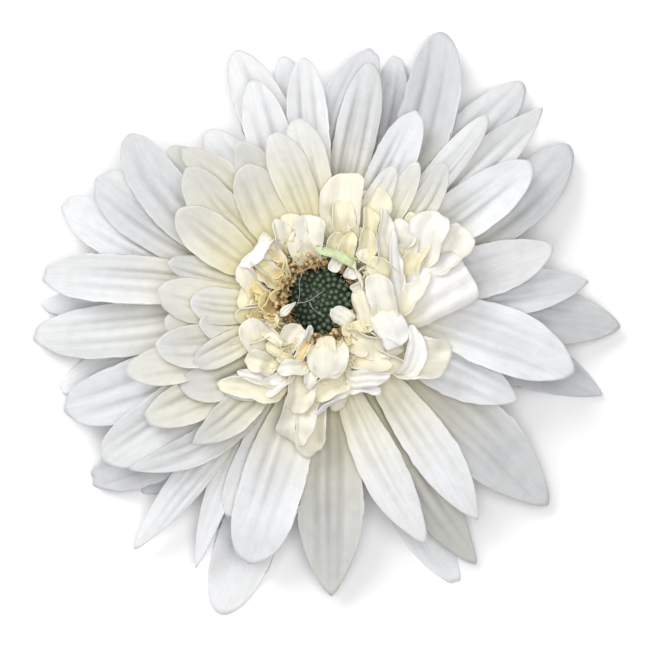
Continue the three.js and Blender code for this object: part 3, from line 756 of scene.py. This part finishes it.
def smooth_path(stops, steps):
    """A smooth curve through a few chosen points."""
    stops = np.asarray(stops, dtype=float)
    padded = np.vstack([2 * stops[0] - stops[1], stops, 2 * stops[-1] - stops[-2]])
    share = np.linspace(0, 1, steps, endpoint=False)[:, None]
    parts = []
    for p0, p1, p2, p3 in zip(padded, padded[1:], padded[2:], padded[3:]):
        parts.append(0.5 * (2 * p1 + (p2 - p0) * share
                            + (2 * p0 - 5 * p1 + 4 * p2 - p3) * share ** 2
                            + (3 * p1 - p0 - 3 * p2 + p3) * share ** 3))
    return np.vstack(parts + [stops[-1:]])


def ruff_path(floret, bow):
    """A floret's line from its hidden foot to its tip, and the way its blade points."""
    start, tip = np.array(floret[0:3]), np.array(floret[3:6])
    start[2] += CORE_TOP
    tip[2] += CORE_TOP
    foot = np.append(start[:2] * FOOT_RADIUS / np.hypot(*start[:2]), CORE_TOP - FOOT_DEPTH)
    out = tip - start
    crest = (start + tip) / 2 + np.array([-out[1], out[0], 0]) * bow
    crest[2] += floret[6]
    return smooth_path([foot, start, crest, tip], PATH_STEPS), out


def ruff_ends(looks, v, widest):
    """Share of the length at which each line along a floret meets its outline."""
    closing = (1 - np.abs(v) ** looks["swell"]) ** looks["close"]
    teeth = tip_teeth(v, looks["notch"], RUFF_TEETH, looks["phase"])
    return widest + (1 - widest) * closing * (1 - teeth * closing) * (1 + looks["skew"] * v)


def ruff_sheet(path, steps, out, distance, turned):
    """Points at distances along a path, and the blade's own two ways, across and facing."""
    def at_distance(values):
        return np.stack([np.interp(distance, steps, values[:, k]) for k in range(3)], -1)
    line = at_distance(path)
    heading = unit(at_distance(np.gradient(path, steps, axis=0)))
    level = unit(np.array([-out[1], out[0], 0]))
    above = unit(np.cross(heading, level))
    turned = np.radians(turned)[..., None]
    across = level * np.cos(turned) + above * np.sin(turned)
    return line, across, unit(np.cross(heading, across))


def ruff_fullness(width, t, blade_from, widest):
    """How far a floret has widened at t, 0 to 1, and its width there as a share."""
    hidden = 0.5 * blade_from
    swell = np.sin(pi / 2 * np.clip((t - hidden) / (widest - hidden), 0, 1)) ** 0.9
    claw = min(0.5 + 0.5 / width, 1)
    return swell, claw + (1 - claw) * swell


def ruff_piece(rng, name, floret, looks, material=RUFF_PETAL):
    """A small floret: a hidden claw up from the core, then a crumpled blade out to its tip."""
    width, roll, cup, tip_tone = floret[7:11]
    path, out = ruff_path(floret, looks["bow"])
    steps = np.append(0, np.cumsum(np.linalg.norm(np.diff(path, axis=0), axis=1)))
    length = steps[-1]
    blade_from = steps[PATH_STEPS] / length
    widest = blade_from + looks["widest"] * (1 - blade_from)

    rows, columns = RUFF_GRID
    v = spread(columns)[None, :]
    t = np.linspace(0, 1, rows)[:, None] * ruff_ends(looks, v, widest)
    turned = roll * np.clip(t / widest, 0, 1) + looks["twist"] * (t - 0.5 * widest)
    line, across, facing = ruff_sheet(path, steps, out, t * length, turned)

    swell, full = ruff_fullness(width, t, blade_from, widest)
    x, y = width / 2 * full * v, t * length
    ragged = 1 + looks["ragged"] / width * crumple(rng, 0.2 * x, y, *RAGGED_LENGTHS)
    lobes = np.sin(7 * t + looks["phase"] * 6 + 2 * np.sign(v))
    ragged = ragged + looks["lobe"] * np.abs(v) * swell * lobes
    creases = looks["crease"] * crumple(rng, x, y, *RUFF_CREASE_LENGTHS, 0.7)
    creases = creases * (0.5 + 0.5 * v ** 2) * swell
    pleats = looks["pleat"] * np.cos(pi * looks["pleats"] * v + looks["phase"]) * full
    rolled = np.clip(v * looks["side"], 0, 1) ** 2 * swell
    margin = looks["fold"] * width / 4 * rolled
    x = x * (1 - 0.22 * abs(looks["fold"]) * rolled)
    relief = cup * (v ** 2 - 0.3) * full + creases + pleats + margin
    relief = relief + looks["curl"] * np.clip((t - widest) / (1 - widest), 0, 1) ** 2
    grid = line + across * (x * ragged)[..., None] + facing * relief[..., None]
    grid[..., 2] = np.maximum(grid[..., 2], DEEPEST)
    points, faces = shell_parts(grid, RUFF_SHEET * (1 - 0.4 * v ** 2) * np.ones_like(t))

    cream_reach = min(widest, blade_from + 0.5 * (1 - blade_from))
    tone = tip_tone + (RUFF_BASE_CREAM_AND_GLOW - tip_tone) * np.clip(1 - t / cream_reach, 0, 1) ** 1.3
    tone = tone * (1 - 0.5 * np.clip((np.abs(v) - 0.7) / 0.3, 0, 1) * swell)
    # painted shade in the troughs of the creases and pleats
    painted_shading = 1 - 0.25 * np.clip(-creases, 0, 0.6) - 0.3 * np.clip(-pleats, 0, 0.3)
    uv = np.stack([x + looks["phase"] * RUFF_UV_SHIFT, y], -1)
    return make_object(name, points, faces, material, ["ruff_florets"],
                       both_sides(tone), both_sides(uv, 2), both_sides(painted_shading))


# a ruff floret's own random looks: a pair is a range, a list is a choice
RUFF_LOOKS = {
    "notch": (0.0, 0.09), "pleat": (0.06, 0.22), "pleats": [2.0, 3.0], "crease": (0.45, 0.9),
    "ragged": (0.2, 0.6), "lobe": (0.04, 0.16), "skew": (-0.35, 0.35), "widest": (0.42, 0.68),
    "curl": (-0.9, 0.9), "bow": (-0.07, 0.07), "twist": (-20, 20), "fold": (-0.6, 1.4),
    "side": [-1, 1], "swell": (1.5, 3.0), "close": (0.42, 0.85), "phase": (0, 1),
}


def ruff_looks(rng):
    return {look: rng.choice(span) if isinstance(span, list) else rng.uniform(*span)
            for look, span in RUFF_LOOKS.items()}


def fill_floret(rng, azimuth, row):
    """A random floret at an azimuth, in the same terms as RUFF, for a row of RUFF_FILL."""
    radius, least, most, width, low, high, tone = row
    start = polar(radius + rng.uniform(-0.3, 0.3), azimuth)
    tip = polar(radius + rng.uniform(least, most), azimuth + rng.uniform(-12, 12))
    more_cream = 0.35 * max(0, -cos(radians(azimuth)))
    return (*start, low * rng.uniform(0.8, 1.2),
            *tip, high * rng.uniform(0.85, 1.15), rng.uniform(0.2, 0.8),
            width * rng.uniform(0.75, 1.25), rng.uniform(-60, 60), rng.uniform(-0.8, 1.6),
            tone * rng.uniform(0.7, 1.2) + more_cream)


GREEN_STRIP = (6.4, 6.9, 4.4, -1.3, 9.8, 5.2, 0.4, 2.1, 15, 0.3, 0.3)  # in RUFF's terms


def build_ruff():
    rng = random.Random(SEED + 1)
    for number, floret in enumerate(RUFF, 1):
        looks = ruff_looks(rng)
        for set_looks in floret[11:]:
            looks.update(set_looks)
        ruff_piece(rng, f"ruff_floret_{number:02d}", floret, looks)
    for row_number, (count, *row) in enumerate(RUFF_FILL, 1):
        for number in range(1, count + 1):
            azimuth = 360 * number / count + rng.uniform(-4, 4)
            floret = fill_floret(rng, azimuth, row)
            looks = ruff_looks(rng)
            looks["crease"] *= 1.5
            looks["twist"] *= 3
            ruff_piece(rng, f"ruff_fill_{row_number}_{number:02d}", floret, looks)
    ruff_piece(rng, "green_floret", GREEN_STRIP, ruff_looks(rng), GREEN_FLORET)


# ---- disc, pappus, threads

def ring_faces(rings, sides, first=0):
    """Faces between rings of points that follow each other, counted from `first`."""
    faces = []
    for low in range(first, first + (rings - 1) * sides, sides):
        high = low + sides
        for k in range(sides):
            after = (k + 1) % sides
            faces.append((low + k, low + after, high + after, high + k))
    return faces


def ring_fans(bottom, low, top, high, sides):
    """Fans from a middle point to the lowest ring and to the highest."""
    faces = []
    for k in range(sides):
        after = (k + 1) % sides
        faces += [(bottom, low + after, low + k), (top, high + k, high + after)]
    return faces


def turned_parts(profile, sides, centre=(0, 0, 0)):
    """Closed solid of revolution round +Z: profile runs from the axis out and back to it."""
    x, y, z = centre
    points = [(x, y, z + profile[0][1])]
    for radius, height in profile[1:-1]:
        for k in range(sides):
            angle = 2 * pi * k / sides
            points.append((x + radius * cos(angle), y + radius * sin(angle), z + height))
    points.append((x, y, z + profile[-1][1]))
    last = len(points) - 1
    faces = ring_faces(len(profile) - 2, sides, 1)
    return points, faces + ring_fans(0, 1, last, last - sides, sides)


class Pile:
    """Collects the points, faces and tones of many small solids that make one piece."""

    def __init__(self):
        self.points, self.faces, self.tone = [], [], []

    def add(self, points, faces, tone):
        start = len(self.points)
        self.points.extend(points)
        self.faces.extend(tuple(start + i for i in face) for face in faces)
        self.tone.extend(tone)

    def make(self, name, material, slot, replaced):
        make_object(name, self.points, self.faces, material, replaced, self.tone)


DISC_RIM = disc_low[2] + 1.4  # height of the disc's edge, mm
GOLDEN_ANGLE = pi * (3 - sqrt(5))
BUD_SPACING = 0.64
BUD_SIZES = (0.6, 0.68)
BUD_RINGS, BUD_SIDES = 8, 14
BED_DEPTH = 0.75  # of the bed between the buds, mm


def dome_height(radius):
    """Top of the disc at a radius, mm."""
    share = np.clip(1 - radius / DISC_RADIUS, 0, 1)
    return DISC_RIM + (disc_high[2] - DISC_RIM) * sin(pi / 2 * share)


def bud_profile(size):
    """Outline of a closed bud, a little taller than wide."""
    profile = [(0, -1.2 * size)]
    for step in range(1, BUD_RINGS):
        turn = pi * step / BUD_RINGS
        profile.append((size * sin(turn), -1.05 * size * cos(turn)))
    return profile + [(0, 1.08 * size)]


def build_disc():
    """Closed buds in a spiral over a bed coloured as painted shade; painted light makes them
    lighter at their tops and to one side.
    """
    rng = random.Random(SEED + 2)
    buds = Pile()
    count = int(((DISC_RADIUS - 0.45) / BUD_SPACING) ** 2)
    for n in range(count):
        radius = BUD_SPACING * sqrt(n + 0.5)
        angle = n * GOLDEN_ANGLE + rng.uniform(-0.3, 0.3) / sqrt(n + 1)
        size = rng.uniform(*BUD_SIZES)
        middle = dome_height(radius) - size + rng.uniform(-0.12, 0.12)
        x, y = radius * cos(angle), radius * sin(angle)
        points, faces = turned_parts(bud_profile(size), BUD_SIDES, (x, y, middle))
        low = middle - size
        # painted light: each bud lighter to +x and towards its top, with painted shade low down
        # and to -x
        light = 0.8 + 0.3 * x / DISC_RADIUS + rng.uniform(-0.12, 0.12)
        tone = [np.clip(light * ((p[2] - low) / (2 * size)) ** 1.2, 0, 1) for p in points]
        buds.add(points, faces, tone)
    bed = [(0, disc_low[2]), (DISC_RADIUS, disc_low[2])]
    for radius in np.linspace(DISC_RADIUS, 0.8, 6):
        bed.append((radius, dome_height(radius) - BED_DEPTH))
    bed.append((0, dome_height(0) - BED_DEPTH))
    points, faces = turned_parts(bed, 40)
    # the bed is coloured darkest, as painted shade between the buds
    buds.add(points, faces, [0.05] * len(points))
    buds.make("disc_bud_field", BUD_WITH_PAINTED_LIGHT, "bud_green", ["disc_buds"])


def strand_parts(path, width, sides, taper):
    """A thin round strand along a path, closed at both ends, its tip `taper` of its foot."""
    path = np.asarray(path, dtype=float)
    heading = unit(np.gradient(path, axis=0))
    helper = np.array([0.0, 0.0, 1.0]) if abs(heading[0][2]) < 0.8 else np.array([1.0, 0, 0])
    first = unit(np.cross(heading, helper))
    second = np.cross(heading, first)
    steps = len(path)
    points = []
    for i in range(steps):
        radius = width / 2 * (1 - (1 - taper) * i / (steps - 1))
        for k in range(sides):
            angle = 2 * pi * k / sides
            points.append(path[i] + radius * (cos(angle) * first[i] + sin(angle) * second[i]))
    faces = ring_faces(steps, sides)
    faces.append(tuple(reversed(range(sides))))
    faces.append(tuple(range((steps - 1) * sides, steps * sides)))
    return points, faces


PAPPUS_BOTTOM = CORE_TOP + FIT_GAP
PAPPUS_HEADS, PAPPUS_BRISTLES = 170, 520
HEAD_RINGS, HEAD_SIDES = 7, 9


def head_profile(size, stalk):
    """Outline of a lumpy head on a thin stalk."""
    profile = [(0, -stalk), (0.25 * size, -stalk)]
    for step in range(2, HEAD_RINGS):
        turn = pi * step / HEAD_RINGS
        neck = 0.8 if step == 2 else 1
        profile.append((size * sin(turn) * neck, -1.3 * size * cos(turn)))
    return profile + [(0, 1.25 * size)]


def pappus_heads(rng):
    """Lumpy tips of dry tufts, higher further out."""
    heads = Pile()
    for _ in range(PAPPUS_HEADS):
        azimuth = rng.uniform(0, 360)
        radius = rng.uniform(DISC_RADIUS - 0.1, CORE_RADIUS + 0.3)
        size = rng.uniform(0.32, 0.6)
        high = 0.6 + 2.6 * (radius - DISC_RADIUS) / (CORE_RADIUS - DISC_RADIUS)
        top = PAPPUS_BOTTOM + max(high, 0.9) * rng.uniform(0.75, 1.1)
        points, faces = turned_parts(head_profile(size, top - PAPPUS_BOTTOM), HEAD_SIDES,
                                     (*polar(radius, azimuth), top))
        tint = rng.uniform(-0.15, 0.15)
        # painted light: each head lighter towards its top and darker below as painted shade;
        # the tint differs at random
        tone = [np.clip(0.35 + 0.4 * (p[2] - top) / size + tint, 0, 1) for p in points]
        heads.add(points, faces, tone)
    return heads


def pappus_bristles(rng):
    """Thin bristles that stand between the heads and lean to the disc."""
    bristles = Pile()
    for _ in range(PAPPUS_BRISTLES):
        azimuth = rng.uniform(0, 360)
        radius = rng.uniform(DISC_RADIUS + 0.2, CORE_RADIUS + 0.4)
        start = np.append(polar(radius, azimuth), PAPPUS_BOTTOM)
        lean = rng.uniform(-1.4, 0.5)
        tip = np.append(polar(radius + lean, azimuth + rng.uniform(-14, 14)),
                        PAPPUS_BOTTOM + rng.uniform(2.0, 4.6))
        sag = np.array([rng.uniform(-0.5, 0.5), rng.uniform(-0.5, 0.5), 0])
        path = [start + (tip - start) * s + sag * 4 * s * (1 - s)
                for s in np.linspace(0, 1, 6)]
        points, faces = strand_parts(path, rng.uniform(0.13, 0.22), 5, 0.4)
        # painted shade: each bristle darker towards its foot, down among the heads
        tone = np.clip([0.3 + 0.14 * (p[2] - PAPPUS_BOTTOM) + rng.uniform(-0.1, 0.15)
                        for p in points], 0, 1)
        bristles.add(points, faces, tone.tolist())
    return bristles


def build_pappus():
    """Dry tan tufts in the ring between the disc and the ruff."""
    rng = random.Random(SEED + 3)
    pappus_heads(rng).make("pappus_heads", BRISTLE_WITH_PAINTED_LIGHT, "bristle_tan", ["pappus"])
    pappus_bristles(rng).make("pappus_bristles", BRISTLE_WITH_PAINTED_LIGHT, "bristle_tan", ["pappus"])


THREAD_WIDTH = 0.1
# threads over the disc: x and y from the flower's axis and height over the disc, mm
THREADS = [
    [(-3.6, 5.2, 1.4), (-4.2, 3.4, 1.0), (-4.1, 1.2, 0.7), (-4.6, -1.0, 0.6)],
    [(-4.6, -0.6, 0.6), (-2.4, -0.2, 0.7), (-0.6, 1.0, 0.8), (0.6, 1.8, 0.5)],
    [(-2.2, -0.4, 0.5), (-1.4, -1.8, 0.6), (0.4, -3.0, 0.5)],
    [(-4.6, 5.4, 1.6), (-2.4, 6.2, 1.9), (-1.4, 7.4, 2.2), (0.2, 8.2, 2.4)],
]


def build_threads():
    """Pale styles that have fallen over the disc."""
    threads = Pile()
    for stops in THREADS:
        lifted = [(x, y, dome_height(hypot(x, y)) + up) for x, y, up in stops]
        points, faces = strand_parts(smooth_path(lifted, 8), THREAD_WIDTH, 6, 0.6)
        threads.add(points, faces, [0] * len(points))
    make_object("style_threads", threads.points, threads.faces, THREAD, [])


# ---- stem stub and involucre

STEM_RINGS, STEM_SEGMENTS = 26, 60
STEM_RIBS = 10
STEM_FLARE = 0.1  # how much wider it is at its top
STEM_BEVEL = 0.12  # mm, at both ends


def build_stem():
    """Ribbed stalk with a flat cut end, widening to the receptacle."""
    points = []
    for i in range(STEM_RINGS):
        share = i / (STEM_RINGS - 1)
        radius = STEM_RADIUS / (1 + STEM_FLARE) * (
            1 + STEM_FLARE * np.clip((share - 0.6) / 0.4, 0, 1))
        for k in range(STEM_SEGMENTS):
            angle = 2 * pi * k / STEM_SEGMENTS
            ribbed = radius * (0.985 - 0.03 * cos(STEM_RIBS * angle)
                               + 0.008 * sin(3 * angle + 5 * share))
            if i in (0, STEM_RINGS - 1):
                ribbed -= STEM_BEVEL
            points.append((ribbed * cos(angle), ribbed * sin(angle), STEM_TOP * share))
    bottom, top = len(points), len(points) + 1
    points += [(0, 0, 0.0), (0, 0, STEM_TOP)]
    faces = ring_faces(STEM_RINGS, STEM_SEGMENTS)
    faces += ring_fans(bottom, 0, top, bottom - STEM_SEGMENTS, STEM_SEGMENTS)
    make_object("stem_stalk", points, faces, STALK, ["stem_stub"])


CUP_BOTTOM = core_low[2]
CUP_RIM = WHORL_HEIGHT - 1.3
BRACTS_IN_ROW = 14
BRACT_ROWS = [(11.3, 10.2, 10.5), (9.7, 8.4, 8.5), (8.2, 6.4, 7.0)]  # height, foot, length
BRACT_GRID = (16, 9)
BRACT_HALF_WIDTH = 1.9
BRACT_CLIMB = 2.1  # from its root to its free part, mm
BRACT_ROOT = 2.6  # how far its root runs in under the row
BRACT_SHEET = 0.5  # thickest at the middle, mm


def involucre_cup():
    """Green cup round the receptacle, from the stem to under the rays."""
    cup = [(0, CUP_BOTTOM - 0.1), (STEM_RADIUS + 0.2, CUP_BOTTOM - 0.1)]
    for share in np.linspace(0, 1, 8):
        radius = STEM_RADIUS + 0.9 + (CORE_RADIUS + 0.1 - STEM_RADIUS) * sin(pi / 2 * share)
        cup.append((radius, CUP_BOTTOM + (CUP_RIM - CUP_BOTTOM) * share))
    cup += [(CORE_RADIUS - 0.5, WHORL_HEIGHT - 1.1), (0, WHORL_HEIGHT - 1.2)]
    points, faces = turned_parts(cup, 48)
    make_object("involucre_cup", points, faces, BRACT, ["involucre"])


def bract_piece(name, azimuth, height, foot_radius, reach, tilt):
    """A narrow pointed bract that climbs along the cup and then lies out under the rays."""
    rows, columns = BRACT_GRID
    v = spread(columns)[None, :]
    t = np.linspace(0, 1, rows)[:, None] * np.ones_like(v)
    half = BRACT_HALF_WIDTH * (1 - 0.97 * t ** 1.8)
    radius = foot_radius - BRACT_ROOT + (reach + BRACT_ROOT) * t
    lift = (height - 1.9 + BRACT_CLIMB * np.sin(pi / 2 * np.clip(t * 2.2, 0, 1))
            - 0.05 * reach * t ** 2 - 0.35 * (1 - v ** 2) + tilt * t)
    ahead = polar(1, azimuth)
    left = np.array([-ahead[1], ahead[0]])
    flat = ahead * radius[..., None] + left * (half * v)[..., None]
    grid = np.concatenate([flat, lift[..., None]], -1)
    points, faces = shell_parts(grid, BRACT_SHEET * (1 - 0.6 * v ** 2) * np.ones_like(t))
    make_object(name, points, faces, BRACT, ["involucre"])


def build_involucre():
    """The cup and its rows of bracts, which overlap round the receptacle."""
    rng = random.Random(SEED + 4)
    involucre_cup()
    for row, (height, foot_radius, length) in enumerate(BRACT_ROWS):
        for number in range(BRACTS_IN_ROW):
            azimuth = 360 * (number + row / 2) / BRACTS_IN_ROW + rng.uniform(-2, 2)
            reach = length * rng.uniform(0.9, 1.05)
            bract_piece(f"bract_{row + 1}_{number + 1:02d}", azimuth, height, foot_radius,
                        reach, rng.uniform(-0.2, 0.2))


# ---- floor, light and camera

FLOOR_SIZE = 3.0  # m, as are the lights' places and sizes
LIGHTS = [("key", (-0.55, 0.65, 0.85), 0.7, 7.6),
          ("overhead", (0.05, 0, 0.95), 0.6, 5.6)]  # name, place, size, power in W
SKY_COLOUR, SKY_STRENGTH = (0.97, 0.98, 1.0, 1), 0.32


def build_floor():
    bpy.ops.mesh.primitive_plane_add(size=FLOOR_SIZE, location=(0, 0, 0))
    floor = bpy.context.object
    floor.name = "floor"
    floor.data.materials.append(FLOOR)


def area_light(name, place, size, power):
    """A round soft light that faces the flower."""
    light = bpy.data.lights.new(name, "AREA")
    light.shape = "DISK"
    light.size = size
    light.energy = power
    lamp = bpy.data.objects.new(name, light)
    lamp.location = place
    lamp.rotation_euler = (-Vector(place)).to_track_quat("-Z", "Y").to_euler()
    bpy.context.scene.collection.objects.link(lamp)


def build_lights():
    world = bpy.data.worlds.new("studio")
    bpy.context.scene.world = world
    world.use_nodes = True
    sky = world.node_tree.nodes["Background"]
    sky.inputs["Color"].default_value = SKY_COLOUR
    sky.inputs["Strength"].default_value = SKY_STRENGTH
    for light in LIGHTS:
        area_light(*light)


VIEW_WIDTH = 130.6  # covered at the rays' height, mm
VIEW_PLANE = 8  # that height, mm
LENS, SENSOR = 200, 36  # mm
CLIP_START = 0.01  # m


def build_camera():
    """Straight above the flower, looking down."""
    camera = bpy.data.cameras.new("camera")
    camera.lens = LENS
    camera.sensor_width = SENSOR
    camera.clip_start = CLIP_START
    eye = bpy.data.objects.new("camera", camera)
    distance = LENS / SENSOR * VIEW_WIDTH + VIEW_PLANE
    eye.location = (0, 0, distance * MM)
    bpy.context.scene.collection.objects.link(eye)
    bpy.context.scene.camera = eye


def dress_core():
    """The receptacle stays as the frame has it, with its own material."""
    for material_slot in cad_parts["receptacle"].material_slots:
        material_slot.material = CORE


dress_core()
build_rays()
build_ruff()
build_disc()
build_pappus()
build_threads()
build_stem()
build_involucre()
build_floor()
build_lights()
build_camera()
bpy.context.scene.view_settings.view_transform = "Standard"
